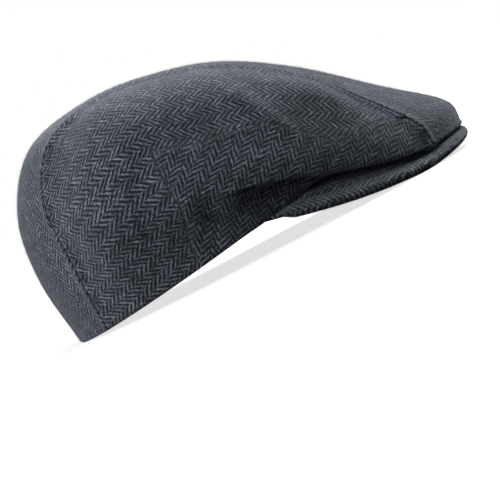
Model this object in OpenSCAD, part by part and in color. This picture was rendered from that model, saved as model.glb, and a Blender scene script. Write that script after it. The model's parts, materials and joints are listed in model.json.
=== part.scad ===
// Flat cap in herringbone wool cloth: five crown panels sewn to a stiffened peak, lined, with a sweatband.
// It is drawn in the plane of its rim and then laid on a table, on the rear rim and the edge of the peak.
// Millimetres. The peak points along -Y and the wearer's right side lies at -X.

/* [Head opening] */
// Length of the rim, outside, from back to front
rim_len = 210; // [195:1:225]
// Width of the rim, outside, at its widest
rim_wid = 176; // [160:1:190]
// Share by which the oval is fuller at the back
rim_egg = 0.05; // [0:0.01:0.08]

/* [Crown] */
// Height of the crown's ridge above the rim
crown_h = 117; // [105:1:130]
// How far the sides swell out beyond the rim
side_swell = 10; // [6:1:16]
// Angle around the rim from the centre back to each rear seam
rear_seam_angle = 30; // [26:1:34]
// Angle around the rim from the centre back to each front seam
front_seam_angle = 139; // [135:1:143]
// Thickness of the wool cloth
cloth_t = 2; // [1.2:0.1:2.4]
// Gap between two panels along a seam
seam_gap = 0.3; // [0.2:0.1:0.6]
// Extra width by which each panel's inside edge is cut back along the long seams
seam_mitre = 1.5; // [1.3:0.1:2]

/* [Peak] */
// Reach of the peak in front of the rim
peak_len = 60; // [50:1:72]
// How far the peak stands out beside the rim
peak_flare = 1; // [0:0.5:6]
// Drop of the peak's front edge below the rim
peak_drop = 34; // [28:1:40]
// Angle around the rim from the centre back to each corner of the peak
peak_corner_angle = 101.5; // [98:0.5:106]
// Thickness of the stiffening board
board_t = 2.2; // [1.5:0.1:3]
// Thickness of each cloth cover of the peak
cover_t = 1.6; // [1:0.1:2]

/* [Inside] */
// Clearance between one layer and the next
layer_gap = 0.3; // [0.2:0.1:0.5]
// Room for the lean of the rear wall outside the stay tape
wall_lean = 0.6; // [0.5:0.1:1]
// Room between the crown's cloth and its interlining
inter_gap = 0.8; // [0.7:0.1:1.1]
// Thickness of the canvas interlining behind the crown
interlining_t = 0.8; // [0.5:0.1:1]
// Thickness of the stay tape around the rim, with the hem turned up against it
tape_t = 2.3; // [2.2:0.1:2.8]
// Width of the stay tape
tape_h = 8; // [7:0.5:9]
// Thickness of the lining cloth
lining_t = 0.6; // [0.4:0.1:1]
// Room between the ridge of the crown and the lining
lining_drop = 20; // [19:1:35]
// Fall of the lining from its ridge towards back and front
lining_fall = 100; // [90:5:130]
// How far the lining reaches down behind the sweatband
lining_tuck = 24; // [22:1:26]
// Squareness of the lining's dome
lining_power = 2.6; // [2.2:0.1:2.7]
// Size of the lining's oval tip as a share of the dome
lining_tip_share = 0.62; // [0.5:0.02:0.7]
// Thickness of the sweatband
band_t = 1.2; // [0.8:0.1:1.6]
// Width of the sweatband
band_h = 28; // [20:1:32]
// Height of the band's lower edge above the rim
band_lift = 1; // [0.5:0.5:3]

/* [Front tacks] */
// Thickness of each thread tack between crown and peak
tack_d = 1.6; // [1:0.1:2.4]
// Distance from the middle tack to the outer ones
tack_step = 30; // [20:1:36]
// Distance of the tacks from the peak's edge
tack_back = 20; // [18:1:24]

/* [Hidden] */
wool = [0.23, 0.25, 0.28];
wool_dark = [0.18, 0.2, 0.23];
canvas = [0.72, 0.68, 0.58];
satin = [0.12, 0.12, 0.14];
board_grey = [0.55, 0.53, 0.5];
half_len = rim_len / 2;
half_rim = rim_wid / 2;
half_side = half_rim + side_swell;
half_peak = half_rim + peak_flare;
peak_half_t = board_t / 2 + layer_gap + cover_t;
tape_inset = cloth_t + wall_lean;
lining_inset = tape_inset + tape_t + layer_gap;
band_inset = lining_inset + lining_t + layer_gap;
band_top = band_lift + band_h;
lining_h = crown_h - lining_drop;

// Small helpers
function mix(a, b, t) = a + (b - a) * t;
function unit(v) = v / max(norm(v), 1e-9);
function clamp(t) = min(max(t, 0), 1);
function ease(t) = let (c = clamp(t)) c * c * (3 - 2 * c);
function steps(a, b, n) = [for (i = [0 : n]) mix(a, b, i / n)];

// Smooth curve through a list of points or numbers; t counts the points from 0
function curve(pts, t) =
    let (last = len(pts) - 1,
         c = min(max(t, 0), last),
         i = min(floor(c), last - 1),
         q = c - i,
         p1 = pts[i],
         p2 = pts[i + 1],
         p0 = i > 0 ? pts[i - 1] : 2 * p1 - p2,
         p3 = i < last - 1 ? pts[i + 2] : 2 * p2 - p1)
    p1 + q / 2 * (p2 - p0 + q * (2 * p0 - 5 * p1 + 4 * p2 - p3 + q * (3 * (p1 - p2) + p3 - p0)));

// Cubic between two points with two handles
function bow(a, b, c, d, q) =
    pow(1 - q, 3) * a + 3 * q * pow(1 - q, 2) * b + 3 * q * q * (1 - q) * c + pow(q, 3) * d;

// A point is [towards the wearer's right, forward from the back of the rim, up from the rim]
function rim(angle, inset = 0) =
    [(half_rim - inset) * sin(angle) * (1 + rim_egg * cos(angle)),
     half_len - (half_len - inset) * cos(angle), 0];

// Forward place: 0 to 1 runs along the rim, 1 to 2 from its front to the tip of the peak
function forward(n) = n < 1 ? n * rim_len : rim_len + (n - 1) * peak_len;
// Height: shares of the crown above the rim, shares of the peak's drop below it
function height(h) = h > 0 ? h * crown_h : h * peak_drop;

// Centre line of the middle panel, from the rear rim over the ridge to the fold above the peak
centre_line = [for (p = [[0, 0], [0.006, 0.385], [0.065, 0.726], [0.21, 0.974], [0.429, 1], [0.619, 0.915],
                         [0.795, 0.77], [0.971, 0.513], [1.508, 0.171], [1.972, -0.3], [1.985, -0.79]])
    [0, forward(p[0]), height(p[1])]];
// Seam along the middle panel, at the same stations
seam_line = concat([rim(rear_seam_angle)],
    [for (p = [[0.59, 0.0915, 0.385], [0.511, 0.1325, 0.718], [0.42, 0.248, 0.94], [0.443, 0.419, 0.979],
               [0.477, 0.6, 0.897], [0.523, 0.776, 0.735], [0.575, 0.938, 0.453], [0.63, 1.164, 0.154],
               [0.67, 1.4, -0.22], [0.675, 1.42, -0.7]])
        [p[0] * half_rim, forward(p[1]), height(p[2])]]);
seam_top = 3;
seam_fold = 10;
// Stations of the side, from the rear seam to the front: place on the seam, widest point, angle at the rim
side_last = 6;
side_seam = [seam_top, 3.8, 4.6, 5.9, 7, 8, 9.3];
side_wide = concat(
    [for (p = [[0.525, 0.0895, 0.342], [0.852, 0.192, 0.385], [1, 0.405, 0.342], [0.985, 0.624, 0.17],
               [0.867, 0.843, 0], [0.775, 1, -0.42]])
        [p[0] * half_side, forward(p[1]), height(p[2])]],
    [seam_line[seam_fold]]);
side_angle = [rear_seam_angle, 53.5, 74, 104, 119, 130, front_seam_angle];
shoulder = [30, 40, 40, 40, 30, 18, 6];
// The front gusset's seams: its rear edge, and its upper edge as a share of the way down the side
gusset_rear = 2;
gusset_upper = [[2, 0.64], [2.5, 0.655], [3, 0.6], [3.35, 0.575], [3.85, 0.67], [4.15, 0.77], [4.54, 0.665],
                [4.84, 0.53], [5.26, 0.3], [5.54, 0.06]];
gusset_tip = 5.54;
// Least width left at the arm's pointed end, as a share of the way down the side
tip_share = 0.02;

up = [0, 0, 1];
// How the cloth hangs from its widest point: share of the way to the rim, least and most millimetres
hang_share = 0.35;
hang_least = 3;
fold_depth = 9;
// How it arrives at the rim: share of the way, and the lift that holds the turned cloth off the peak
arrive_share = 0.4;
fold_lift = 4;
// Hang and lift of the fold in front; the deep tuck at the temple, its station and its width in stations
front_depth = 7;
front_lift = 9;
tuck_share = 0.75;
tuck_at = 3;
tuck_wide = 0.45;
// How the side rises from its widest point to the seam: share of the height, least and most millimetres
rise_share = 0.4;
rise_least = 3;
rise_most = 30;
// Stations between which the upright wall changes into the turned-under fold
wall_end = 2.3;
fold_start = 3.5;
// Stretch of the seam that gives the rear shoulder its direction
seam_step = 0.35;
// Length of a side seen from its seam, in shoulder lengths
shoulder_reach = 3;

// Cloth from the widest point down to the sewn line: a wall at the back, turned under over the peak
function below(wide, sewn, front, q, depth, lift, tuck = 0) =
    let (run = norm(wide - sewn),
         out = unit(wide - sewn),
         lead = unit(mix(up, out, front * (1 - tuck))),
         hang = mix(min(max(hang_share * run, hang_least), depth), hang_least, tuck))
    bow(wide, wide - up * hang,
        sewn + lead * mix(arrive_share, tuck_share, tuck) * run + up * lift * front, sewn, q);
// The fold at each temple, where the cloth is tucked in deepest
function temple(s) = exp(-pow((s - tuck_at) / tuck_wide, 2));

// The side of the crown before its edges are tied to the seam: s along it, r from seam (0) to rim (2)
function side_free(s, r) =
    let (at = curve(side_seam, s),
         top = curve(seam_line, at),
         wide = curve(side_wide, s),
         sewn = rim(curve(side_angle, s)),
         mid = curve(centre_line, at),
         fall = top - mid,
         over = unit([fall[0], 2 * fall[1], 2 * fall[2]]),
         down = unit(curve(seam_line, seam_top - seam_step) - curve(seam_line, seam_top)),
         lead = unit(mix(over, down, clamp(1 - s))),
         rise = min(max(rise_share * (top[2] - wide[2]), rise_least), rise_most),
         last = ease(s - side_last + 1))
    r < 1 ? bow(top, top + lead * curve(shoulder, s), wide + up * rise, wide, r)
          : below(wide, sewn, ease((s - wall_end) / (fold_start - wall_end)), r - 1,
                  mix(fold_depth, front_depth, last), mix(fold_lift, front_lift, last), temple(s));
// The same with its rear and front edges lying on the seam
function rear_tie(r) = curve(seam_line, seam_top * (1 - r / 2)) - side_free(0, r);
function front_tie(r) = r > 1 ? [0, 0, 0]
    : curve(seam_line, mix(side_seam[side_last], seam_fold, r)) - side_free(side_last, r);
function side(s, r) =
    side_free(s, r)
    + (s < 1 ? pow(1 - s, 2) * rear_tie(r) : [0, 0, 0])
    + (s > side_last - 1 ? pow(s - side_last + 1, 2) * front_tie(r) : [0, 0, 0]);

// The middle panel: s along it, x from -1 to 1 across it; past the fold it turns under to the rim
strip_last = seam_fold + 1;
function strip(s, x) =
    s <= seam_fold
    ? let (e = curve(seam_line, s), c = curve(centre_line, s))
        [e[0] * x, mix(c[1], e[1], x * x), mix(c[2], e[2], x * x)]
    : below(strip(seam_fold, x), rim(180 - (180 - front_seam_angle) * x), 1, s - seam_fold,
            front_depth, front_lift);

// Millimetres turned into steps of the two surfaces' own measures
function strip_share(s, mm) = mm / curve(seam_line, min(s, seam_fold))[0];
function side_share(s, mm) = mm / (shoulder_reach * curve(shoulder, s));
station_len = 45;

// Outward normals of a grid of points
function normals(g) =
    let (n = len(g) - 1, m = len(g[0]) - 1)
    [for (i = [0 : n]) [for (j = [0 : m])
        unit(cross(g[i][min(j + 1, m)] - g[i][max(j - 1, 0)],
                   g[min(i + 1, n)][j] - g[max(i - 1, 0)][j]))]];
function sunk(g, n, depth) =
    [for (i = [0 : len(g) - 1]) [for (j = [0 : len(g[0]) - 1]) g[i][j] - n[i][j] * depth]];
function flat_list(g) = [for (row = g) for (p = row) [-p[0], half_len - p[1], p[2]]];

// Closed sheet between two grids of points; keep tells which cells of the grid it has
module sheet(outer, inner, keep = undef) {
    n = len(outer) - 1;
    m = len(outer[0]) - 1;
    function on(i, j) = i >= 0 && j >= 0 && i < n && j < m && (is_undef(keep) || keep[i][j]);
    function o(i, j) = i * (m + 1) + j;
    function b(i, j) = (n + 1) * (m + 1) + o(i, j);
    function wall(p, q, r, s) = [[p, q, r], [p, r, s]];
    ci = floor(n / 2);
    cj = floor(m / 2);
    facing = cross(outer[ci][cj + 1] - outer[ci][cj], outer[ci + 1][cj] - outer[ci][cj])
        * (outer[ci][cj] - inner[ci][cj]);
    faces = [for (i = [0 : n - 1]) for (j = [0 : m - 1]) if (on(i, j)) each concat(
        wall(o(i, j), o(i, j + 1), o(i + 1, j + 1), o(i + 1, j)),
        wall(b(i, j), b(i + 1, j), b(i + 1, j + 1), b(i, j + 1)),
        on(i - 1, j) ? [] : wall(o(i, j), b(i, j), b(i, j + 1), o(i, j + 1)),
        on(i + 1, j) ? [] : wall(o(i + 1, j + 1), b(i + 1, j + 1), b(i + 1, j), o(i + 1, j)),
        on(i, j - 1) ? [] : wall(o(i + 1, j), b(i + 1, j), b(i, j), o(i, j)),
        on(i, j + 1) ? [] : wall(o(i, j + 1), b(i, j + 1), b(i + 1, j + 1), o(i + 1, j + 1)))];
    polyhedron(concat(flat_list(outer), flat_list(inner)),
               facing < 0 ? faces : [for (f = faces) [f[0], f[2], f[1]]]);
}

// Middle panel or its interlining: rows along the cap, depth below the outside, cut back at the seams
function strip_grid(rows, cut, cols) =
    [for (s = rows) [for (x = steps(-1, 1, cols)) strip(s, x * (1 - strip_share(s, cut)))]];
module strip_sheet(rows, cols, depth, thick, cut) {
    outer = strip_grid(rows, cut, cols);
    inner = strip_grid(rows, cut + seam_mitre, cols);
    sheet(sunk(outer, normals(outer), depth), sunk(inner, normals(inner), depth + thick));
}

// Side panel with its long upper arm: rows along the side, shares down to the gusset and down to the rim
arm_cols = 6;
wall_cols = 8;
side_rear = steps(0, gusset_rear - seam_gap / station_len, 9);
side_arm = steps(gusset_rear + seam_gap / station_len, gusset_tip, 20);
gusset_front = steps(gusset_tip, side_last, 3);
function gusset_edge(s) = lookup(s, gusset_upper);
function side_shares(s, cut) =
    let (top = side_share(s, cut),
         corner = max(gusset_edge(max(s, gusset_rear)) - side_share(s, cut), top + tip_share))
    concat(steps(top, corner, arm_cols), [for (k = [1 : wall_cols]) mix(corner, 2, k / wall_cols)]);
function side_grid(rows, cut) =
    [for (s = rows) let (t = max(s, cut / station_len)) [for (r = side_shares(t, cut)) side(t, r)]];
module side_sheet(rear_rows, arm_rows, depth, thick, cut) {
    rows = concat(rear_rows, arm_rows);
    keep = [for (i = [0 : len(rows) - 2]) [for (j = [0 : arm_cols + wall_cols - 1])
        i < len(rear_rows) - 1 || j < arm_cols]];
    outer = side_grid(rows, cut);
    inner = side_grid(rows, cut + seam_mitre);
    sheet(sunk(outer, normals(outer), depth), sunk(inner, normals(inner), depth + thick), keep);
}

// Front gusset, from the side panel's seams to the sewn line in front
gusset_cols = 12;
function gusset_grid(rows, cut) =
    [for (s = rows)
        let (t = min(s, side_last - cut / station_len),
             top = side_share(t, cut) + (t > gusset_tip ? 0 : gusset_edge(t)))
        [for (k = [0 : gusset_cols]) side(t, mix(top, 2, k / gusset_cols))]];
module gusset_sheet() {
    rows = concat(side_arm, [for (k = [1 : len(gusset_front) - 1]) gusset_front[k]]);
    outer = gusset_grid(rows, seam_gap / 2);
    inner = gusset_grid(rows, seam_gap / 2 + seam_mitre);
    sheet(sunk(outer, normals(outer), 0), sunk(inner, normals(inner), cloth_t));
}

// Top of the peak: t runs along it from corner (0) to tip (6) to corner (12), v from the rim to its edge
peak_half = [for (p = [[0.975, 0.614, -0.02], [1, 0.714, -0.28], [0.985, 0.843, -0.55], [0.92, 0.967, -0.75],
                       [0.77, 1.33, -0.9], [0.47, 1.787, -0.91], [0, 2, -0.89]])
    [p[0] * half_peak, forward(p[1]), height(p[2])]];
peak_tip = len(peak_half) - 1;
peak_edge = concat(peak_half, [for (i = [peak_tip - 1 : -1 : 0]) let (p = peak_half[i]) [-p[0], p[1], p[2]]]);
function peak_root(t) = rim(mix(peak_corner_angle, 180, t / peak_tip)) - up * layer_gap;
function peak_depth(t) = norm(curve(peak_edge, t) - peak_root(t));
function peak_top(t, back) = mix(curve(peak_edge, t), peak_root(t), min(back / peak_depth(t), 1));
// Rows of the peak, as distances from its edge; round is the radius of the rolled edge
function peak_rows(t, from, round) =
    concat([for (a = [0, 30, 60]) from + round * (1 - cos(a))],
           [for (k = [0 : 4]) mix(from + round, peak_depth(t), k / 4)]);
function roll(back, radius) = radius * sqrt(1 - pow(1 - clamp(back / radius), 2));
peak_cols = 36;
peak_ts = steps(2 * peak_tip, 0, peak_cols);
peak_backs = [for (t = peak_ts) peak_rows(t, 0, peak_half_t)];
peak_skin = [for (i = [0 : peak_cols]) [for (d = peak_backs[i]) peak_top(peak_ts[i], d)]];
peak_out = normals(peak_skin);
// The peak thins out towards its corners, where it has no board
end_share = 0.4;
function peak_fullness(t) = mix(end_share, 1, ease(min(t, 2 * peak_tip - t) / board_end));
// One face of a cover: which is 1 above and -1 below, off gives its distance from the middle of the peak
function peak_face(which, off) = [for (i = [0 : peak_cols]) [for (j = [0 : len(peak_skin[0]) - 1])
    peak_skin[i][j]
    + peak_out[i][j] * peak_fullness(peak_ts[i]) * (which * off(peak_backs[i][j]) - peak_half_t)]];
function outside(which) = peak_face(which, function (d) max(roll(d, peak_half_t), layer_gap));
function inside(which) =
    peak_face(which, function (d) max(roll(max(d - cover_t, 0), peak_half_t - cover_t), layer_gap / 2));
// Where the board starts, counted along the peak from each corner
board_end = 0.6;
module peak_cover(which) { sheet(outside(which), inside(which)); }
module peak_plate() {
    ts = steps(2 * peak_tip - board_end, board_end, peak_cols);
    edge = peak_half_t + layer_gap;
    top = [for (t = ts) [for (d = steps(edge, peak_depth(t), 5)) peak_top(t, d)]];
    n = normals(top);
    sheet(sunk(top, n, peak_half_t - board_t / 2), sunk(top, n, peak_half_t + board_t / 2));
}

// Lining: a dome over the rim, out is 1 at the rim and 0 at its middle
function lining_at(angle, out, inset) =
    let (p = mix([0, half_len, 0], rim(angle, inset), min(out, 1)),
         ridge = lining_h - inset - lining_fall * pow(p[1] / rim_len - lining_ridge, 2))
    [p[0], p[1], out > 1 ? band_top - lining_tuck
        : mix(band_top, ridge, pow(1 - pow(out, lining_power), 1 / lining_power))];
lining_ridge = 0.4;
below_band = 1.5;
tip_cells = 14;
tip_edge = 0.99;
module lining_part() {
    function grid(inset) = [for (a = steps(join_angle, 180 - join_angle, 24)) [for (k = lining_rows)
        lining_at(a, k, inset)]];
    sheet(grid(lining_inset), grid(lining_inset + lining_t));
}
// Rows from behind the band up to the tip, closer together where the dome is steep
join_angle = 0.2;
lining_rows = concat([below_band], [for (a = steps(0, 90, 6)) mix(lining_tip_share, 1, cos(a))]);

// Upright band of cloth or tape inside the rim
module rim_band(inset, thick, from, to) {
    function ring(d) = [for (a = [0 : 5 : 355]) let (p = rim(a, d)) [-p[0], half_len - p[1]]];
    translate([0, 0, from]) linear_extrude(to - from) difference() {
        polygon(ring(inset));
        polygon(ring(inset + thick));
    }
}

// Thread tack: found where the turned-under cloth hangs over a place on the peak
function tack_at(across) =
    let (t = peak_tip - 2 * across / (peak_edge[peak_tip - 2][0] + 1e-6)) peak_top(t, tack_back);
function find_under(p, low, high, n) =
    let (s = (low + high) / 2, q = strip(s, p[0] / under_wide(s)))
    n == 0 ? q : q[1] > p[1] ? find_under(p, s, high, n - 1) : find_under(p, low, s, n - 1);
function under_wide(s) = mix(seam_line[seam_fold][0], rim(front_seam_angle)[0], s - seam_fold);

// Laid on the table: tipped until the edge of the peak and the rear rim lie level
peak_low = [for (row = outside(-1)) for (p = row) p];
rest_tilt = max([for (p = peak_low) atan2(-p[2], p[1])]);
function laid(p) =
    let (y = half_len - p[1], c = cos(rest_tilt), s = sin(rest_tilt))
    [-p[0], y * c + p[2] * s, p[2] * c - y * s];
back_reach = max([for (s = steps(0, seam_top, 30)) laid(strip(s, 0))[1]]);
front_reach = min([for (p = peak_low) laid(p)[1]]);
table = min(concat([for (p = peak_low) laid(p)[2]], [laid(rim(0))[2]]));
module rest() {
    translate([0, -(back_reach + front_reach) / 2, -table]) rotate([-rest_tilt, 0, 0]) children();
}
module left_of() { mirror([1, 0, 0]) children(); }

// Rows of the middle panel: they meet the side's own rows along the seam
rear_shares = side_shares(0, 0);
under_rows = 6;
strip_cols = 8;
strip_rows = concat(
    [for (k = [len(rear_shares) - 1 : -1 : 1]) seam_top * (1 - rear_shares[k] / 2)],
    [for (s = concat(side_rear, side_arm)) curve(side_seam, s)],
    [for (k = [1 : len(gusset_front) - 1]) curve(side_seam, gusset_front[k])],
    [for (k = [1 : under_rows]) mix(side_seam[side_last], seam_fold, k / under_rows)],
    [for (k = [1 : under_rows]) seam_fold + k / under_rows]);

// Crown panels
module crown_centre_panel() {
    color(wool) rest() strip_sheet(strip_rows, strip_cols, 0, cloth_t, seam_gap / 2);
}
module crown_side_right() {
    color(wool) rest() side_sheet(side_rear, side_arm, 0, cloth_t, seam_gap / 2);
}
module crown_side_left() {
    color(wool) rest() left_of() side_sheet(side_rear, side_arm, 0, cloth_t, seam_gap / 2);
}
module front_gusset_right() { color(wool) rest() gusset_sheet(); }
module front_gusset_left() { color(wool) rest() left_of() gusset_sheet(); }

// Peak
module peak_upper_cover() { color(wool_dark) rest() peak_cover(1); }
module peak_under_cover() { color(wool_dark) rest() peak_cover(-1); }
module peak_board() { color(board_grey) rest() peak_plate(); }

// Inside of the crown
// Interlining: cut back from the seams, first and last station on the middle panel and on the sides
inter_cut = 3;
inter_rear = 1.2;
inter_front = 9;
inter_side_rear = 0.1;
inter_side_front = 4.4;
// Its lower edge as a share of the way down the side, behind and in front
inter_low_rear = 0.95;
inter_low_front = 0.85;
module interlining_centre() {
    color(canvas) rest()
        strip_sheet([for (s = strip_rows) if (s > inter_rear && s < inter_front) s], strip_cols,
                    cloth_t + inter_gap, interlining_t, inter_cut);
}
module interlining_side() {
    g = [for (s = steps(inter_side_rear, inter_side_front, 18))
        let (low = mix(inter_low_rear, inter_low_front, ease(s - gusset_rear)))
        [for (r = steps(side_share(s, inter_cut), low, 8)) side(s, r)]];
    n = normals(g);
    sheet(sunk(g, n, cloth_t + inter_gap), sunk(g, n, cloth_t + inter_gap + interlining_t));
}
module interlining_right() { color(canvas) rest() interlining_side(); }
module interlining_left() { color(canvas) rest() left_of() interlining_side(); }
// The tip's square grid is drawn round, so that its threads meet no point
function round_angle(p, q) = atan2(p * sqrt(1 - q * q / 2), q * sqrt(1 - p * p / 2));
function round_out(p, q) = sqrt(p * p + q * q - p * p * q * q);
module lining_tip() {
    function grid(inset) = [for (p = steps(-1, 1, tip_cells)) [for (q = steps(-1, 1, tip_cells))
        lining_at(round_angle(p, q), round_out(p, q) * lining_tip_share * tip_edge, inset)]];
    color(satin) rest() sheet(grid(lining_inset), grid(lining_inset + lining_t));
}
module lining_band_right() {
    color(satin) rest() lining_part();
}
module lining_band_left() {
    color(satin) rest() left_of() lining_part();
}
module rim_stay_tape() { color(canvas) rest() rim_band(tape_inset, tape_t, band_lift, band_lift + tape_h); }
module sweatband() { color(satin) rest() rim_band(band_inset, band_t, band_lift, band_top); }

// Tacks that hold the crown's front down on the peak
tack_least = 0.4;
module front_tacks() {
    color(wool_dark) rest() for (k = [-1 : 1]) {
        foot = tack_at(k * tack_step);
        head = find_under(foot, seam_fold, strip_last, 24);
        lift = layer_gap + tack_d / 4;
        translate([-foot[0], half_len - foot[1], foot[2] + lift])
            cylinder(d = tack_d, h = max(head[2] - foot[2] - 2 * lift, tack_least), $fn = 24);
    }
}

crown_centre_panel();
crown_side_right();
crown_side_left();
front_gusset_right();
front_gusset_left();
peak_upper_cover();
peak_under_cover();
peak_board();
interlining_centre();
interlining_right();
interlining_left();
lining_tip();
lining_band_right();
lining_band_left();
rim_stay_tape();
sweatband();
front_tacks();
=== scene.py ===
"""Flat cap in herringbone wool: cloth panels, peak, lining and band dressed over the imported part."""

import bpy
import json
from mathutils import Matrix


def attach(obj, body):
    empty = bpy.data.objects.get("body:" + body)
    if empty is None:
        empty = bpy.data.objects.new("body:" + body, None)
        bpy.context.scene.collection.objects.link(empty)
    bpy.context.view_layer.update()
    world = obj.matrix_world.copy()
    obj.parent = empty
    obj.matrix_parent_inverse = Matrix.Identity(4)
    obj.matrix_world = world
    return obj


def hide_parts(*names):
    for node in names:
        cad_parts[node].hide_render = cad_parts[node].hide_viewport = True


bl_info = {
    "name": "Flat cap dresser",
    "version": (1, 0, 0),
    "blender": (4, 5, 0),
    "location": "3D View > Sidebar > Flat cap",
    "description": "Builds the cloth of a flat cap over its packed part, and a plain studio around it",
    "category": "Object",
}

import json
import math

import bmesh
import bpy
import numpy as np
from mathutils import Matrix, Vector

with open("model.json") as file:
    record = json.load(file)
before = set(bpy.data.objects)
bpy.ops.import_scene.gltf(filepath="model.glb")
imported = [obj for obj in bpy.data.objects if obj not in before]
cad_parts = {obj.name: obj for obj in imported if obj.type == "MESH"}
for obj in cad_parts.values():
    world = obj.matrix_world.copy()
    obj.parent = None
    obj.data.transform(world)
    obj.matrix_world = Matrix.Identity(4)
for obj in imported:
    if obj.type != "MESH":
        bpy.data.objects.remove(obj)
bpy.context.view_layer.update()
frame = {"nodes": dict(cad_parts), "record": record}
OPENING = frame["record"]["mounts"][0]

UP = np.array([0.0, 0.0, 1.0])


# Settings


def ranged(kind, name, description, default, **more):
    return kind(name=name, description=description, default=default, min=0, max=2 * default, **more)


def length(name, description, default):
    return ranged(bpy.props.FloatProperty, name, description, default, precision=4, unit="LENGTH")


def share(name, description, default):
    return ranged(bpy.props.FloatProperty, name, description, default)


def number(name, description, default):
    return ranged(bpy.props.IntProperty, name, description, default)


def degrees(name, description, default):
    return bpy.props.FloatProperty(
        name=name, description=description, default=math.radians(default), min=0, max=math.pi, subtype="ANGLE"
    )


def colour(name, description, default):
    return bpy.props.FloatVectorProperty(
        name=name, description=description, default=default, size=3, min=0, max=1, subtype="COLOR"
    )


class FlatCapSizes(bpy.types.PropertyGroup):
    """Sizes of the cap, the same as in the part's source"""

    rim_len: length("Rim length", "Length of the rim, outside", 0.210)
    rim_wid: length("Rim width", "Width of the rim, outside", 0.176)
    rim_egg: share("Rim fullness", "Share by which the oval is fuller at the back", 0.05)
    crown_h: length("Crown height", "Height of the ridge above the rim", 0.117)
    side_swell: length("Side swell", "How far the sides stand out beyond the rim", 0.010)
    rear_seam: degrees("Rear seam", "Angle of each rear seam from the centre back", 30)
    front_seam: degrees("Front seam", "Angle of each front seam from the centre back", 139)
    cloth_t: length("Cloth thickness", "Thickness of the wool cloth", 0.002)
    seam_gap: length("Seam gap", "Gap between two panels along a seam", 0.0001)
    peak_len: length("Peak length", "Reach of the peak in front of the rim", 0.060)
    peak_flare: length("Peak flare", "How far the peak stands out beside the rim", 0.001)
    peak_drop: length("Peak drop", "Drop of the peak's edge below the rim", 0.034)
    peak_corner: degrees("Peak corner", "Angle of each corner of the peak from the centre back", 101.5)
    board_t: length("Board thickness", "Thickness of the stiffening board", 0.0022)
    cover_t: length("Cover thickness", "Thickness of the peak's cloth covers", 0.0016)
    layer_gap: length("Layer gap", "Clearance between two layers", 0.0003)
    wall_lean: length("Wall lean", "Room for the lean of the rear wall", 0.0006)
    tape_t: length("Tape thickness", "Thickness of the stay tape and hem", 0.0023)
    tape_h: length("Tape width", "Width of the stay tape", 0.008)
    inter_gap: length("Canvas gap", "Room between the cloth and the canvas", 0.0008)
    inter_t: length("Canvas thickness", "Thickness of the interlining", 0.0008)
    lining_t: length("Lining thickness", "Thickness of the lining", 0.0006)
    lining_drop: length("Lining drop", "Room between the ridge and the lining", 0.020)
    lining_fall: length("Lining fall", "Fall of the lining towards back and front", 0.100)
    lining_tuck: length("Lining tuck", "How far the lining goes behind the band", 0.024)
    lining_power: share("Lining squareness", "Squareness of the lining's dome", 2.6)
    lining_tip: share("Lining tip", "Size of the oval tip as a share of the dome", 0.62)
    band_t: length("Band thickness", "Thickness of the sweatband", 0.0012)
    band_h: length("Band width", "Width of the sweatband", 0.028)
    band_lift: length("Band lift", "Height of the band's lower edge above the rim", 0.001)


class FlatCapCloth(bpy.types.PropertyGroup):
    """Colours and weave of the cap"""

    dark_yarn: colour("Dark yarn", "Colour of the dark lines of the weave", (0.0040, 0.0066, 0.0128))
    light_yarn: colour("Light yarn", "Colour of the light lines of the weave", (0.185, 0.209, 0.248))
    fibres: number("Fibres", "Loose fibres on each square metre of cloth", 1500000)
    fibre_len: length("Fibre length", "Length of the longest loose fibres", 0.0018)
    fibre_wide: length("Fibre width", "Width of a loose fibre at its root", 0.00006)
    column: length("Column width", "Width of one herringbone column", 0.0052)
    pitch: length("Line pitch", "Distance between two light lines, along the column", 0.0040)
    slope: share("Line slope", "Rise of the lines along the column for each step across it", 1.2)
    satin: colour("Lining", "Colour of the satin lining", (0.020, 0.021, 0.025))
    band: colour("Band", "Colour of the sweatband", (0.016, 0.016, 0.018))
    canvas: colour("Canvas", "Colour of the canvas interlining", (0.42, 0.37, 0.28))
    thread: colour("Thread", "Colour of the sewing thread", (0.035, 0.038, 0.045))
    tape: colour("Tape", "Colour of the stay tape", (0.045, 0.046, 0.050))
    board: colour("Board", "Colour of the peak's board", (0.24, 0.22, 0.19))


# Form of the cap: a point is (towards the wearer's right, forward from the back of the rim, up from the rim)


def mix(a, b, t):
    return a + (b - a) * t


def unit(v):
    return v / np.maximum(np.linalg.norm(v, axis=-1, keepdims=True), 1e-9)


def ease(t):
    c = np.clip(t, 0, 1)
    return c * c * (3 - 2 * c)


def hump(t, centre, width):
    return np.exp(-(((t - centre) / width) ** 2))


def curve(points, t):
    """Smooth curve through the points; t counts them from 0."""
    p = np.asarray(points, float)
    flat = p.ndim == 1
    p = p[:, None] if flat else p
    last = len(p) - 1
    c = np.clip(np.asarray(t, float), 0, last)
    i = np.minimum(np.floor(c).astype(int), last - 1)
    q = (c - i)[..., None]
    e = np.concatenate([[2 * p[0] - p[1]], p, [2 * p[-1] - p[-2]]])
    a, b, d, g = e[i], e[i + 1], e[i + 2], e[i + 3]
    r = b + q / 2 * (d - a + q * (2 * a - 5 * b + 4 * d - g + q * (3 * (b - d) + g - a)))
    return r[..., 0] if flat else r


def bow(a, b, c, d, q):
    """Cubic from a to d with the handles b and c."""
    q = np.asarray(q)[..., None]
    return (1 - q) ** 3 * a + 3 * q * (1 - q) ** 2 * b + 3 * q * q * (1 - q) * c + q**3 * d


def even(path, start, end, step, fine=400):
    """Measures along a path from start to end whose points lie about step apart."""
    t = np.linspace(start, end, fine)
    run = np.concatenate([[0], np.cumsum(np.linalg.norm(np.diff(path(t), axis=0), axis=1))])
    return np.interp(np.linspace(0, run[-1], max(int(round(run[-1] / step)), 2) + 1), run, t)


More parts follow.
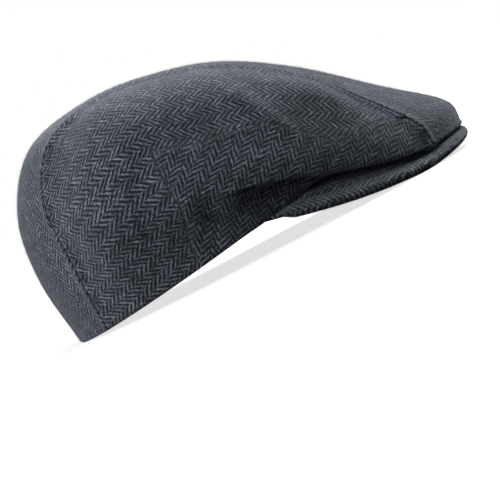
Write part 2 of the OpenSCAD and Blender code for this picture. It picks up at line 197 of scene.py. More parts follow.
def arc(grid, axis):
    """Length along the rows or columns of a grid of points, from its first line."""
    d = np.linalg.norm(np.diff(grid, axis=axis), axis=-1)
    pad = [(0, 0), (0, 0)]
    pad[axis] = (1, 0)
    return np.pad(np.cumsum(d, axis=axis), pad)


def outward(grid):
    return unit(np.cross(np.gradient(grid, axis=1), np.gradient(grid, axis=0)))


class ClothMeasures:
    """Flat measures across and along the weave of a cloth that lies on a grid of points.

    The weave starts at a wanted angle to the rows and is then eased, so that it keeps its size."""

    def __init__(self, grid, kept=None):
        self.kept = np.ones(grid.shape[:2], bool) if kept is None else kept
        rows, cols = np.gradient(grid, axis=0), np.gradient(grid, axis=1)
        self.ahead = unit(rows)
        self.normal = unit(np.cross(rows, cols))
        self.aside = np.cross(self.normal, self.ahead)
        self.steps = [np.diff(grid, axis=k) for k in (0, 1)]
        both = [self.kept[1:] & self.kept[:-1], self.kept[:, 1:] & self.kept[:, :-1]]
        self.pulls = [b / np.maximum(np.linalg.norm(d, axis=-1), 1e-5) for b, d in zip(both, self.steps)]
        self.inner = self.kept.copy()
        self.inner[1:] &= self.kept[:-1]
        self.inner[:-1] &= self.kept[1:]
        self.inner[:, 1:] &= self.kept[:, :-1]
        self.inner[:, :-1] &= self.kept[:, 1:]
        ways = self.ahead, self.aside
        parts = [np.stack([(g * way).sum(-1) for way in ways], -1) for g in (rows, cols)]
        self.slope_of = np.linalg.inv(np.stack(parts, -2))

    def spread(self, edges):
        """What the steps between neighbours bring to each point."""
        return -sum(np.diff(e, axis=k, prepend=0, append=0) for k, e in enumerate(edges))

    def follow(self, way, x, rounds):
        """Measure whose steps follow a direction best, found by conjugate gradients from a first guess."""
        middle = [(way[1:] + way[:-1]) / 2, (way[:, 1:] + way[:, :-1]) / 2]
        wanted = self.spread([w * (d * m).sum(-1) for w, d, m in zip(self.pulls, self.steps, middle)])

        def pull(v):
            return self.spread([w * np.diff(v, axis=k) for k, w in enumerate(self.pulls)])

        left = wanted - pull(x)
        go, size = left.copy(), (left * left).sum()
        for _ in range(rounds):
            moved = pull(go)
            part = size / max((go * moved).sum(), 1e-30)
            x = x + part * go
            left = left - part * moved
            size, before = (left * left).sum(), size
            go = left + size / max(before, 1e-30) * go
        return x

    def slopes(self, measure):
        """Growth of a measure ahead and aside."""
        steps = np.stack(np.gradient(measure), -1)[..., None]
        return np.moveaxis((self.slope_of @ steps)[..., 0], -1, 0)

    def solve(self, turn, ease_share=0.85, passes=8, first_rounds=700, more_rounds=200):
        wanted = np.radians(turn) + np.zeros(self.kept.shape)
        angle = wanted
        u = v = np.zeros(self.kept.shape)
        for k in range(passes):
            c, s = np.cos(angle)[..., None], np.sin(angle)[..., None]
            rounds = first_rounds if k == 0 else more_rounds
            v = self.follow(c * self.ahead + s * self.aside, v, rounds)
            u = self.follow(c * self.aside - s * self.ahead, u, rounds)
            (u_ahead, u_aside), (v_ahead, v_aside) = self.slopes(u), self.slopes(v)
            free = np.arctan2(v_aside - u_ahead, v_ahead + u_aside)
            off = np.angle(np.exp(1j * (free - wanted)))
            angle = wanted + np.where(self.inner, ease_share * off, 0)
        return np.stack([u, v], -1)


# Height and dip of the pressed seams round the gusset
FLAT_SEAM = 0.0002, 0.00008
# Place and width of the ridge beside a seam, and width of the dip along it
RIDGE_AT, RIDGE_WIDE, DIP_WIDE = 0.0018, 0.0024, 0.0007


def seam_swell(e, ridge=0.0010, dip=0.0006):
    """Height of the cloth at a distance from a seam: turned edges lift it, the stitching pulls it in."""
    return ridge * hump(e, RIDGE_AT, RIDGE_WIDE) - dip * hump(e, 0, DIP_WIDE)


# Stations of the upper seam where the side starts and where the crown is folded; last station of the side
SEAM_TOP, SEAM_FOLD, SIDE_LAST = 3, 10, 6
# Metres for one station along a side and for the way from its seam to its widest line
STATION, SEAM_TO_WIDE = 0.045, 0.055
SIDE_MEASURE = np.array([STATION, SEAM_TO_WIDE])
# Stations of the gusset's rear seam and of its tip
GUSSET_REAR, GUSSET_TIP = 2, 5.54
# Hang of the cloth below the fold and lift before it is sewn, at the side and in front
FOLD_DEPTH, FRONT_DEPTH = 0.009, 0.007
FOLD_LIFT, FRONT_LIFT = 0.004, 0.009
# Hang below the widest line as a share of the way to the rim, and the least hang
HANG_SHARE, HANG_LEAST = 0.35, 0.003
# Straight run at the sewn line as a share of that way, in the open and in the tuck
SEWN_RUN, TUCK_RUN = 0.4, 0.75
# Straight rise above the widest line as a share of the height, and its limits
RISE_SHARE, RISE_LEAST, RISE_MOST = 0.4, 0.003, 0.030
# Station from which the side turns under and stations that it takes; station and width of the tuck
TURN_FROM, TURN_OVER, TUCK_AT, TUCK_WIDE = 2.3, 1.2, 3, 0.45
# Share of the rim's length at which the lining is highest
LINING_TOP = 0.4
# Angle of the weave's columns to the rows of each piece, by station, in degrees
SIDE_GRAIN = (0.4, 1, 1.7, 2.4, 2.9, 3.85, 4.3, 4.75), (-16, -8, -15, 16, 3, -3, -6, -4)
SIDE_GRAIN_LOW = -18
GUSSET_GRAIN = (2.4, 2.8, 3.3, 3.65, 4.1, 4.7, 5.2), (-58, -50, -44, -46, -60, -62, -40)
GUSSET_UPPER = (
    (2, 0.64), (2.5, 0.655), (3, 0.6), (3.35, 0.575), (3.85, 0.67), (4.15, 0.77), (4.54, 0.665),
    (4.84, 0.53), (5.26, 0.3), (5.54, 0.06),
)


class CapForm:
    """The surfaces that the cap's pieces are cut from."""

    def __init__(self, size):
        self.size = size
        self.half_len, self.half_rim = size.rim_len / 2, size.rim_wid / 2
        half_side = self.half_rim + size.side_swell
        half_peak = self.half_rim + size.peak_flare
        self.tape_inset = size.cloth_t + size.wall_lean
        self.lining_inset = self.tape_inset + size.tape_t + size.layer_gap
        self.band_inset = self.lining_inset + size.lining_t + size.layer_gap
        self.band_top = size.band_lift + size.band_h
        self.peak_half_t = size.board_t / 2 + size.layer_gap + size.cover_t
        self.centre = self.spots(
            0, (0, 0, 0), (0, 0.006, 0.385), (0, 0.065, 0.726), (0, 0.21, 0.974), (0, 0.429, 1),
            (0, 0.619, 0.915), (0, 0.795, 0.77), (0, 0.971, 0.513), (0, 1.508, 0.171), (0, 1.972, -0.3),
            (0, 1.985, -0.79),
        )
        self.seam = np.concatenate([[self.rim(size.rear_seam)], self.spots(
            self.half_rim, (0.59, 0.0915, 0.385), (0.511, 0.1325, 0.718), (0.42, 0.248, 0.94),
            (0.443, 0.419, 0.979), (0.477, 0.6, 0.897), (0.523, 0.776, 0.735), (0.575, 0.938, 0.453),
            (0.63, 1.164, 0.154), (0.67, 1.4, -0.22), (0.675, 1.42, -0.7),
        )])
        self.side_seam = np.array([SEAM_TOP, 3.8, 4.6, 5.9, 7, 8, 9.3])
        self.side_wide = np.concatenate([self.spots(
            half_side, (0.525, 0.0895, 0.342), (0.852, 0.192, 0.385), (1, 0.405, 0.342), (0.985, 0.624, 0.17),
            (0.867, 0.843, 0), (0.775, 1, -0.42),
        ), [self.seam[SEAM_FOLD]]])
        self.side_angle = np.array(
            [size.rear_seam, *np.radians([53.5, 74, 104, 119, 130]), size.front_seam]
        )
        self.shoulder = np.array([0.030, 0.040, 0.040, 0.040, 0.030, 0.018, 0.006])
        half = self.spots(
            half_peak, (0.975, 0.614, -0.02), (1, 0.714, -0.28), (0.985, 0.843, -0.55), (0.92, 0.967, -0.75),
            (0.77, 1.33, -0.9), (0.47, 1.787, -0.91), (0, 2, -0.89),
        )
        self.peak_tip = len(half) - 1
        self.peak_edge = np.concatenate([half, half[-2::-1] * (-1, 1, 1)])

    def spots(self, across, *rows):
        size = self.size
        return np.array([
            (k * across,
             n * size.rim_len if n < 1 else size.rim_len + (n - 1) * size.peak_len,
             h * size.crown_h if h > 0 else h * size.peak_drop)
            for k, n, h in rows
        ])

    def rim(self, angle, inset=0.0):
        t = np.asarray(angle, float)
        return np.stack([
            (self.half_rim - inset) * np.sin(t) * (1 + self.size.rim_egg * np.cos(t)),
            self.half_len - (self.half_len - inset) * np.cos(t),
            0 * t,
        ], -1)

    def below(self, wide, sewn, front, q, depth, lift, tuck):
        """Cloth from the widest point down to the sewn line: a wall behind, turned under in front."""
        run = np.linalg.norm(wide - sewn, axis=-1, keepdims=True)
        front, depth, lift, tuck = (np.asarray(v, float)[..., None] for v in (front, depth, lift, tuck))
        lead = unit(mix(UP, unit(wide - sewn), front * (1 - tuck)))
        hang = mix(np.minimum(np.maximum(HANG_SHARE * run, HANG_LEAST), depth), HANG_LEAST, tuck)
        handle = sewn + lead * mix(SEWN_RUN, TUCK_RUN, tuck) * run + UP * lift * front
        return bow(wide, wide - UP * hang, handle, sewn, q)

    def side_free(self, s, r):
        at = curve(self.side_seam, s)
        top, wide = curve(self.seam, at), curve(self.side_wide, s)
        sewn = self.rim(curve(self.side_angle, s))
        over = unit((top - curve(self.centre, at)) * (1, 2, 2))
        down = unit(curve(self.seam, SEAM_TOP - 0.35) - curve(self.seam, SEAM_TOP))
        lead = unit(mix(over, down, np.clip(1 - s, 0, 1)[..., None]))
        rise = np.clip(RISE_SHARE * (top[..., 2] - wide[..., 2]), RISE_LEAST, RISE_MOST)[..., None]
        reach = curve(self.shoulder, s)[..., None]
        upper = bow(top, top + lead * reach, wide + UP * rise, wide, np.minimum(r, 1))
        last = ease(s - SIDE_LAST + 1)
        depth, lift = mix(FOLD_DEPTH, FRONT_DEPTH, last), mix(FOLD_LIFT, FRONT_LIFT, last)
        front, tuck = ease((s - TURN_FROM) / TURN_OVER), hump(s, TUCK_AT, TUCK_WIDE)
        lower = self.below(wide, sewn, front, np.maximum(r - 1, 0), depth, lift, tuck)
        return np.where((r < 1)[..., None], upper, lower)

    def side(self, s, r):
        """Side of the crown: s from the rear seam to the front, r from the upper seam (0) to the rim (2)."""
        s, r = np.broadcast_arrays(np.asarray(s, float), np.asarray(r, float))
        rear = curve(self.seam, SEAM_TOP * (1 - r / 2)) - self.side_free(0 * s, r)
        last = curve(self.seam, mix(self.side_seam[SIDE_LAST], SEAM_FOLD, np.minimum(r, 1)))
        front = np.where((r > 1)[..., None], 0, last - self.side_free(0 * s + SIDE_LAST, r))
        return (self.side_free(s, r)
                + np.where(s < 1, (1 - s) ** 2, 0)[..., None] * rear
                + np.where(s > SIDE_LAST - 1, (s - SIDE_LAST + 1) ** 2, 0)[..., None] * front)

    def strip(self, s, x):
        """Middle panel: s along it from the rear rim, x across it from -1 to 1; it ends turned under."""
        s, x = np.broadcast_arrays(np.asarray(s, float), np.asarray(x, float))
        e, c = (curve(line, np.minimum(s, SEAM_FOLD)) for line in (self.seam, self.centre))
        w = x[..., None]
        over = np.concatenate([e[..., :1] * w, mix(c[..., 1:], e[..., 1:], w * w)], -1)
        under = self.below(over, self.rim(math.pi - (math.pi - self.size.front_seam) * x), np.ones_like(s),
                           np.maximum(s - SEAM_FOLD, 0), FRONT_DEPTH, FRONT_LIFT, 0)
        return np.where((s <= SEAM_FOLD)[..., None], over, under)

    def side_share(self, s, d):
        """Share of the way down a side for a distance from its upper seam."""
        return d / (3 * curve(self.shoulder, s))

    def gusset_edge(self, s):
        at, share_down = zip(*GUSSET_UPPER)
        return np.interp(s, at, share_down)

    def peak_top(self, t, back):
        edge = curve(self.peak_edge, t)
        root = self.rim(mix(self.size.peak_corner, math.pi, t / self.peak_tip)) - UP * self.size.layer_gap
        depth = np.linalg.norm(edge - root, axis=-1)
        return mix(edge, root, np.minimum(back / depth, 1)[..., None])

    def peak_depth(self, t):
        return np.linalg.norm(self.peak_top(t, 0 * t) - self.peak_top(t, 0 * t + 1), axis=-1)

    def lining(self, angle, out, inset):
        """Dome of the lining: out is 1 at the rim and 0 at its middle; past 1 it hangs behind the band."""
        size = self.size
        p = mix(np.array([0, self.half_len, 0]), self.rim(angle, inset), np.minimum(out, 1)[..., None])
        away = p[..., 1] / size.rim_len - LINING_TOP
        ridge = size.crown_h - size.lining_drop - inset - size.lining_fall * away**2
        dome = np.clip(1 - np.minimum(out, 1) ** size.lining_power, 0, 1) ** (1 / size.lining_power)
        hung = self.band_top - size.lining_tuck * np.maximum(out - 1, 0)
        high = np.where(out > 1, hung, mix(self.band_top, ridge, dome))
        return np.stack([p[..., 0], p[..., 1], high], -1)

    def laid(self, p):
        """From the plane of the rim to the table that the cap lies on."""
        down = Vector(OPENING["axis"]).normalized()
        c, s = -down.z, -down.y
        y = self.half_len - p[..., 1]
        at = OPENING["pos_m"]
        return np.stack([-p[..., 0], y * c + p[..., 2] * s + at[1], p[..., 2] * c - y * s + at[2]], -1)


# Making pieces

SIDES = "right", "left"
# A seam further away than this does not show on the cloth
SEAM_REACH = 0.02
# Distances of the closer rows of points from a seam
EDGE_STEPS = np.array([0, 0.4, 0.9, 1.5, 2.3, 3.3, 4.5, 6, 8, 10.5, 13.5]) * 0.001
# Distance between the rows of points on the wool and on the canvas
WOOL_STEP, CANVAS_STEP = 0.0018, 0.004
# Shortest loose fibre as a share of the longest, and how upright the fibres stand
FIBRE_SHORTEST, FIBRE_STAND = 0.35, (0.25, 0.85)


def form():
    return CapForm(bpy.context.scene.flat_cap_sizes)


def cloth():
    return bpy.context.scene.flat_cap_cloth


def sheet_piece(name, grid, uv, thickness, material, keep=None, mirror=False, closed=False, seams=None):
    """A piece of cloth on a grid of points in the plane of the rim, thickened inwards."""
    lay = form().laid
    n, m = grid.shape[0] - 1, grid.shape[1] - 1
    hand = np.array([-1 if mirror else 1, 1, 1])
    points = lay(grid * hand)
    facing = lay((grid + outward(grid)) * hand) - points
    bm = bmesh.new()
    bmesh.ops.create_grid(bm, x_segments=n, y_segments=m, size=1)
    seam_layer = bm.verts.layers.float.new("seam")
    weave_layer = bm.loops.layers.uv.new("weave")
    place = {}
    for v in bm.verts:
        i, j = round((v.co.x + 1) / 2 * n), round((v.co.y + 1) / 2 * m)
        place[v] = i, j
        v.co = points[i, j]
        v[seam_layer] = SEAM_REACH if seams is None else min(seams[i, j], SEAM_REACH)
    if keep is not None:
        spare = [face for face in bm.faces
                 if not keep[min(place[v][0] for v in face.verts)][min(place[v][1] for v in face.verts)]]
        bmesh.ops.delete(bm, geom=spare, context="FACES")
    bm.normal_update()
    turn = sum(face.normal.dot(Vector(facing[place[face.verts[0]]])) for face in bm.faces)
    if turn < 0:
        bmesh.ops.reverse_faces(bm, faces=bm.faces[:])
    for face in bm.faces:
        for loop in face.loops:
            loop[weave_layer].uv = uv[place[loop.vert]]
    if closed:
        bmesh.ops.remove_doubles(bm, verts=bm.verts[:], dist=1e-6)
    return finish_piece(name, bm, material, thickness)


def finish_piece(name, bm, material, thickness=0.0):
    mesh = bpy.data.meshes.new(name)
    bm.to_mesh(mesh)
    bm.free()
    mesh.polygons.foreach_set("use_smooth", [True] * len(mesh.polygons))
    mesh.materials.append(material)
    piece = bpy.data.objects.new(name, mesh)
    bpy.context.scene.collection.objects.link(piece)
    if thickness:
        wall = piece.modifiers.new("thickness", "SOLIDIFY")
        wall.thickness = thickness
        wall.offset = -1
        wall.use_quality_normals = True
    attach(piece, "root")
    return piece


def dress(kind, grid, uv, thickness, material, which="", seed=None, sew=None, **shape):
    """Let a sheet of cloth replace its node; a seed gives it loose fibres, and sew makes its stitches."""
    node = kind.format(which)
    piece = sheet_piece(f"{node}_cloth", grid, uv, thickness, material, mirror=which == "left", **shape)
    extras = [] if sew is None else [sew()]
    if seed is not None:
        extras.append(nap_on(piece, seed))
    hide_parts(node)


def nap_on(piece, seed):
    """Loose fibres standing on the outside of a cloth: one fine, leaning sliver each."""
    wool = cloth()
    mesh = piece.data
    mesh.calc_loop_triangles()
    corners = np.empty(3 * len(mesh.loop_triangles), np.int32)
    mesh.loop_triangles.foreach_get("vertices", corners)
    points, normals = (np.empty(3 * len(mesh.vertices)) for _ in range(2))
    mesh.vertices.foreach_get("co", points)
    mesh.vertex_normals.foreach_get("vector", normals)
    corners = corners.reshape(-1, 3)
    p, n = points.reshape(-1, 3)[corners], normals.reshape(-1, 3)[corners]
    area = np.linalg.norm(np.cross(p[:, 1] - p[:, 0], p[:, 2] - p[:, 0]), axis=-1) / 2
    rng = np.random.default_rng(seed)
    count = int(area.sum() * wool.fibres)
    at = rng.choice(len(area), count, p=area / area.sum())
    weights = rng.dirichlet((1, 1, 1), count)[..., None]
    root, up = (p[at] * weights).sum(1), unit((n[at] * weights).sum(1))
    lean = rng.normal(size=(count, 3))
    lean = unit(lean - up * (lean * up).sum(-1, keepdims=True))
    reach = wool.fibre_len * rng.uniform(FIBRE_SHORTEST, 1, (count, 1))
    stand = rng.uniform(*FIBRE_STAND, (count, 1))
    tip = root + reach * unit(stand * up + (1 - stand) * lean)
    half = np.cross(up, lean) * wool.fibre_wide / 2
    clear = tip[:, 2] > 0
    bm = bmesh.new()
    for corners in zip((root - half)[clear], (root + half)[clear], tip[clear]):
        bm.faces.new([bm.verts.new(q) for q in corners])
    return finish_piece(piece.name.replace("_cloth", "_nap"), bm, wool_fibre())


def from_edges(width, middle):
    """Distances across a width, closer together at its two edges, which are seams."""
    last = width - EDGE_STEPS[::-1]
    inner = np.linspace(EDGE_STEPS[-1], last[0], middle + 2)[1:-1]
    return np.concatenate([EDGE_STEPS, inner, last])


# Materials

# The middle range of a noise, which is spread over what the noise changes
NOISE_LOW, NOISE_HIGH = 0.3, 0.7
# Wandering of the weave: scale of the noise, and width
DRIFT, WOBBLE_ACROSS, WOBBLE_ALONG = (30, 0.0030), (620, 0.0013), (520, 0.0018)
# Mottling: scale, detail and roughness of the noise, its darkest and its lightest share
MOTTLES = (
    (17, 3, 0.5, 0.88, 1.12),
    (1500, 3, 0.7, 0.35, 1.75),
    (430, 3, 0.7, 0.42, 1.60),
    (140, 2, 0.5, 0.74, 1.26),
)
# Unevenness of the light lines, and their darkest thread as a share of the lightest
SLUB, DARKEST_THREAD = 4.2, 0.62
# Share of the light yarn in the nap's specks, and in the painted highlight on the cloth beside a seam
NAP_MOST, SEAM_HIGHLIGHT_MOST = 0.6, 0.28
# Distances from a seam between which its painted highlight and its painted shade end
SEAM_HIGHLIGHT_RANGE, SEAM_SHADE_RANGE = (0.0006, 0.0045), (0.0001, 0.0010)
# Darkest share left by the painted shade in a seam's groove
SEAM_SHADE_SHARE = 0.45
# Length of one thread or rib
SATIN_THREAD, BAND_RIB, BAND_CROSS, CANVAS_THREAD = 0.0012, 0.0013, 0.0007, 0.0011


def toned(colour, strength):
    return tuple(strength * x for x in colour)


class Nodes:
    """Short words for building the node tree of a material or of the world."""

    def __init__(self, owner):
        owner.use_nodes = True
        self.owner = owner
        self.tree = owner.node_tree

    def add(self, kind, **values):
        node = self.tree.nodes.new(kind)
        for k, v in values.items():
            setattr(node, k, v)
        return node

    def join(self, socket, value):
        if isinstance(value, bpy.types.NodeSocket):
            self.tree.links.new(value, socket)
        else:
            socket.default_value = value

    def fill(self, node, **values):
        """Join values to the sockets of a node; a low line in a word stands for a space."""
        for name, value in values.items():
            self.join(node.inputs[name.replace("_", " ")], value)

    def math(self, operation, a, b=0.0):
        node = self.add("ShaderNodeMath", operation=operation)
        self.join(node.inputs[0], a)
        self.join(node.inputs[1], b)
        return node.outputs[0]

    def plus(self, a, b):
        return self.math("ADD", a, b)

    def minus(self, a, b):
        return self.math("SUBTRACT", a, b)

    def times(self, a, b):
        return self.math("MULTIPLY", a, b)

    def wave(self, along, length=1.0):
        """Sine along a measure, one round for each length."""
        return self.math("SINE", self.times(along, math.tau / length))

    def span(self, value, low, high, to_low=0.0, to_high=1.0):
        node = self.add("ShaderNodeMapRange", interpolation_type="SMOOTHSTEP")
        for socket, v in zip(node.inputs[:5], (value, low, high, to_low, to_high)):
            self.join(socket, v)
        return node.outputs["Result"]

    def spread(self, noise, to_low=0.0, to_high=1.0):
        return self.span(noise, NOISE_LOW, NOISE_HIGH, to_low, to_high)

    def blend(self, factor, a, b):
        node = self.add("ShaderNodeMix", data_type="RGBA")
        self.join(node.inputs[0], factor)
        for socket, value in ((node.inputs[6], a), (node.inputs[7], b)):
            self.join(socket, (*value, 1) if isinstance(value, tuple) else value)
        return node.outputs[2]

    def tones(self, factor, colour, first, last):
        """One colour between two strengths."""
        return self.blend(factor, toned(colour, first), toned(colour, last))

    def noise(self, scale, detail=2.0, rough=0.5):
        node = self.add("ShaderNodeTexNoise")
        self.fill(node, Scale=scale, Detail=detail, Roughness=rough, Vector=self.place())
        return node.outputs["Fac"]

    def sway(self, value, scale, width):
        """A measure moved to and fro by noise, within a width."""
        return self.plus(value, self.times(self.minus(self.noise(scale), 0.5), width))

    def place(self):
        return self.add("ShaderNodeTexCoord").outputs["Object"]

    def weave(self):
        """Measures across and along the weave."""
        node = self.add("ShaderNodeSeparateXYZ")
        self.join(node.inputs[0], self.add("ShaderNodeUVMap", uv_map="weave").outputs["UV"])
        return node.outputs[0], node.outputs[1]

    def bump(self, height, distance, strength=1.0, under=None):
        node = self.add("ShaderNodeBump")
        self.fill(node, Height=height, Distance=distance, Strength=strength)
        if under is not None:
            self.fill(node, Normal=under)
        return node.outputs["Normal"]

    def done(self, colour, normal, roughness, sheen=0.0, sheen_tint=(1, 1, 1)):
        shader = self.tree.nodes["Principled BSDF"]
        self.fill(shader, Base_Color=colour, Normal=normal, Roughness=roughness, Specular_IOR_Level=0.2)
        self.fill(shader, Sheen_Weight=sheen, Sheen_Roughness=0.45, Sheen_Tint=(*sheen_tint, 1))
        return self.owner


def built_once(name):
    """Build the material of a name on its first use, and share it after that."""

    def wrap(build):
        def shared():
            return bpy.data.materials.get(name) or build(Nodes(bpy.data.materials.new(name)))

        return shared

    return wrap


@built_once("herringbone_wool")
def herringbone(k):
    """Broken herringbone of light and dark yarn, napped, and plainer along the seams, where a painted
    highlight lightens the cloth beside them and painted shade darkens their groove.
    """
    wool = cloth()
    u, v = k.weave()
    u = k.sway(k.sway(u, *DRIFT), *WOBBLE_ACROSS)
    v = k.sway(v, *WOBBLE_ALONG)
    across = k.math("DIVIDE", u, wool.column)
    column = k.math("FLOOR", across)
    odd = k.math("FLOORED_MODULO", column, 2.0)
    inside = k.times(k.minus(k.minus(across, column), 0.5), wool.column * wool.slope)
    lean = k.minus(k.times(odd, 2.0), 1.0)
    run = k.plus(v, k.times(inside, lean))
    turn = k.plus(k.math("DIVIDE", run, wool.pitch), k.times(odd, 0.5))
    thread = k.add("ShaderNodeCombineXYZ")
    k.fill(thread, X=k.math("FLOOR", turn), Y=column, Z=0.5)
    pick = k.add("ShaderNodeTexWhiteNoise")
    k.fill(pick, Vector=thread.outputs[0])
    slub = k.noise(900, 3, 0.7)
    line = k.span(k.plus(k.wave(turn), k.times(k.minus(slub, 0.5), SLUB)), -0.35, 0.95)
    yarn = k.times(line, k.span(pick.outputs["Value"], 0, 1, DARKEST_THREAD, 1.0))
    tone = k.blend(yarn, tuple(wool.dark_yarn), tuple(wool.light_yarn))
    nap = k.span(k.noise(1900, 2, 0.6), 0.50, 0.75, 0.0, NAP_MOST)
    tone = k.blend(nap, tone, toned(wool.light_yarn, 0.9))
    seam = k.add("ShaderNodeAttribute", attribute_name="seam").outputs["Fac"]
    # Patchy blend towards the light yarn beside a seam: a painted highlight on the seam's ridge
    patchy = k.span(k.noise(180, 3), 0.25, 0.6, 0.35, 1.0)
    seam_highlight = k.times(k.span(seam, *SEAM_HIGHLIGHT_RANGE, 1.0, 0.0), patchy)
    tone = k.blend(k.times(seam_highlight, SEAM_HIGHLIGHT_MOST), tone, toned(wool.light_yarn, 0.7))
    # Painted shade in the seam's groove, then random mottling
    level = k.span(seam, *SEAM_SHADE_RANGE, SEAM_SHADE_SHARE, 1.0)
    for scale, detail, rough, darkest, lightest in MOTTLES:
        level = k.times(level, k.spread(k.noise(scale, detail, rough), darkest, lightest))
    shade = k.add("ShaderNodeHueSaturation")
    k.fill(shade, Value=level, Color=tone)
    height = k.plus(k.times(line, 0.6), k.times(slub, 0.6))
    normal = k.bump(k.noise(3200, 2, 0.7), 0.0003, 0.6, k.bump(height, 0.0005, 0.8))
    return k.done(shade.outputs["Color"], normal, 0.95, 0.45, (0.80, 0.86, 0.95))


@built_once("wool_fibre")
def wool_fibre(k):
    """Loose ends of both yarns."""
    wool = cloth()
    which = k.span(k.noise(900, 1), 0.35, 0.65)
    tone = k.blend(which, toned(wool.dark_yarn, 1.3), toned(wool.light_yarn, 0.85))
    return k.done(tone, k.bump(k.noise(4000, 1), 0.00005, 0.3), 0.9, 0.5, (0.80, 0.85, 0.92))


@built_once("lining_satin")
def satin(k):
    """Smooth lining with a fine slanting thread and a soft shine."""
    u, v = k.weave()
    thread = k.wave(k.plus(k.times(u, 3.0), v), SATIN_THREAD)
    cloud = k.noise(45, 3)
    tone = k.tones(k.spread(cloud), cloth().satin, 1, 1.5)
    rough = k.spread(k.noise(260), 0.34, 0.46)
    return k.done(tone, k.bump(thread, 0.00006, 0.5, k.bump(cloud, 0.0008, 0.3)), rough, 0.15)


@built_once("sweatband_twill")
def ribbed(k):
    """Ribs across the band, with a finer cross thread, and painted shade between the ribs."""
    u, v = k.weave()
    rib = k.wave(u, BAND_RIB)
    # Darker in the hollows between ribs and lighter on their tops: painted shade and painted highlight
    tone = k.tones(k.span(rib, -1, 1), cloth().band, 0.6, 1.6)
    height = k.plus(rib, k.times(k.wave(v, BAND_CROSS), 0.25))
    return k.done(tone, k.bump(height, 0.00025, 0.6), k.spread(k.noise(500), 0.6, 0.75), 0.12)


def plain_weave(k, yarn):
    u, v = k.weave()
    grid = k.times(k.wave(u, CANVAS_THREAD), k.wave(v, CANVAS_THREAD))
    tone = k.tones(k.spread(k.noise(300, 3)), yarn, 1, 0.7)
    return k.done(tone, k.bump(grid, 0.0002, 0.7), 0.85, 0.1)


@built_once("canvas_weave")
def canvas(k):
    return plain_weave(k, cloth().canvas)


@built_once("tape_weave")
def tape_weave(k):
    return plain_weave(k, cloth().tape)


@built_once("sewing_thread")
def sewing_thread(k):
    twist = k.noise(2600)
    tone = k.tones(k.spread(twist), cloth().thread, 0.6, 1.5)
    return k.done(tone, k.bump(twist, 0.0001, 0.6), 0.6, 0.2)


@built_once("pressed_board")
def pressed_board(k):
    fleck = k.noise(700, 4, 0.7)
    tone = k.tones(k.spread(fleck), cloth().board, 0.8, 1.2)
    return k.done(tone, k.bump(fleck, 0.0001, 0.4), k.spread(fleck, 0.55, 0.7))


# The floor's colour to the light that it returns and to the camera
FLOOR_DARK, FLOOR_PALE = (0.08, 0.08, 0.085), (0.40, 0.40, 0.41)
# Radii between which the floor's glow grows, and its glow around the cap as a share
GLOW_RANGE, GLOW_LEAST = (0.16, 0.42), 0.74


@built_once("pale_floor")
def pale_floor(k):
    """White to the camera, with the cap's shadow around the middle; dark to the light that it returns."""
    seen = k.add("ShaderNodeLightPath").outputs["Is Camera Ray"]
    shader = k.tree.nodes["Principled BSDF"]
    k.fill(shader, Base_Color=k.blend(seen, FLOOR_DARK, FLOOR_PALE), Roughness=0.9, Specular_IOR_Level=0.0)
    far = k.add("ShaderNodeVectorMath", operation="LENGTH")
    k.join(far.inputs[0], k.place())
    away = k.span(far.outputs["Value"], *GLOW_RANGE)
    glow = k.add("ShaderNodeEmission")
    k.fill(glow, Strength=k.times(seen, k.span(away, 0, 1, GLOW_LEAST, 1.0)))
    both = k.add("ShaderNodeAddShader")
    k.join(both.inputs[0], shader.outputs[0])
    k.join(both.inputs[1], glow.outputs[0])
    k.fill(k.tree.nodes["Material Output"], Surface=both.outputs[0])
    return k.owner


# Pieces

# Draw of the stitched hem, press of the rim on the peak, and the height that both reach
HEM_DRAW, RIM_PRESS, HEM_REACH = 0.0008, 0.0005, 0.0012
# Station at which the press on the peak starts, and stations over which it grows
PRESS_FROM, PRESS_OVER = 2.5, 0.3
# Distance that stands for no edge near
FAR = 1.0
# Closer rows beside the rear seam of the gusset, and the even rows that they replace
CLOSE_ROWS, SPARED_ROWS = 9, 6
# Points across the middle panel between its edges, across the side's arm and wall, and down the gusset
MIDDLE_COLS, ARM_COLS, WALL_COLS, GUSSET_COLS = 24, 40, 52, 80
# Soft hollows and swells of the side: height, then place and width along it, place and width down it
SWELLS = (
    (-0.0014, 1.75, 0.35, 0.95, 0.4),
    (-0.0026, 2.5, 0.34, 0.66, 0.2),
    (0.0030, 3.6, 0.8, 0.86, 0.2),
    (0.0030, 4.1, 0.55, 0.22, 0.17),
)
# Soft creases of the side: height, start and end as places along it and down it, and width in metres
CREASES = (
    (0.0024, (1.40, 0.66), (2.12, 0.40), 0.0095),
    (-0.0017, (2.36, 1.0), (2.36, 1.75), 0.0055),
    (0.0010, (2.66, 0.95), (2.62, 1.5), 0.0060),
    (0.0024, (2.98, 0.30), (3.62, 0.64), 0.0050),
    (-0.0050, (2.72, 1.24), (3.5, 1.16), 0.0065),
    (-0.0055, (3.1, 1.5), (4.8, 1.5), 0.0085),
)
# Share by which a crease sinks at its ends
CREASE_END = 0.6


def hem_line(to_rim):
    return hump(to_rim, 0, HEM_REACH)


def crease(s, r, start, end, wide):
    """Height from 0 to 1 along a soft ridge between two places of the side."""
    a, b = (np.array(p) * SIDE_MEASURE for p in (start, end))
    d = np.stack(np.broadcast_arrays(s, r), -1) * SIDE_MEASURE - a
    t = np.clip((d * (b - a)).sum(-1) / ((b - a) ** 2).sum(), 0, 1)
    away = np.linalg.norm(d - t[..., None] * (b - a), axis=-1)
    return hump(away, 0, wide) * (1 - CREASE_END * np.abs(2 * t - 1) ** 4)


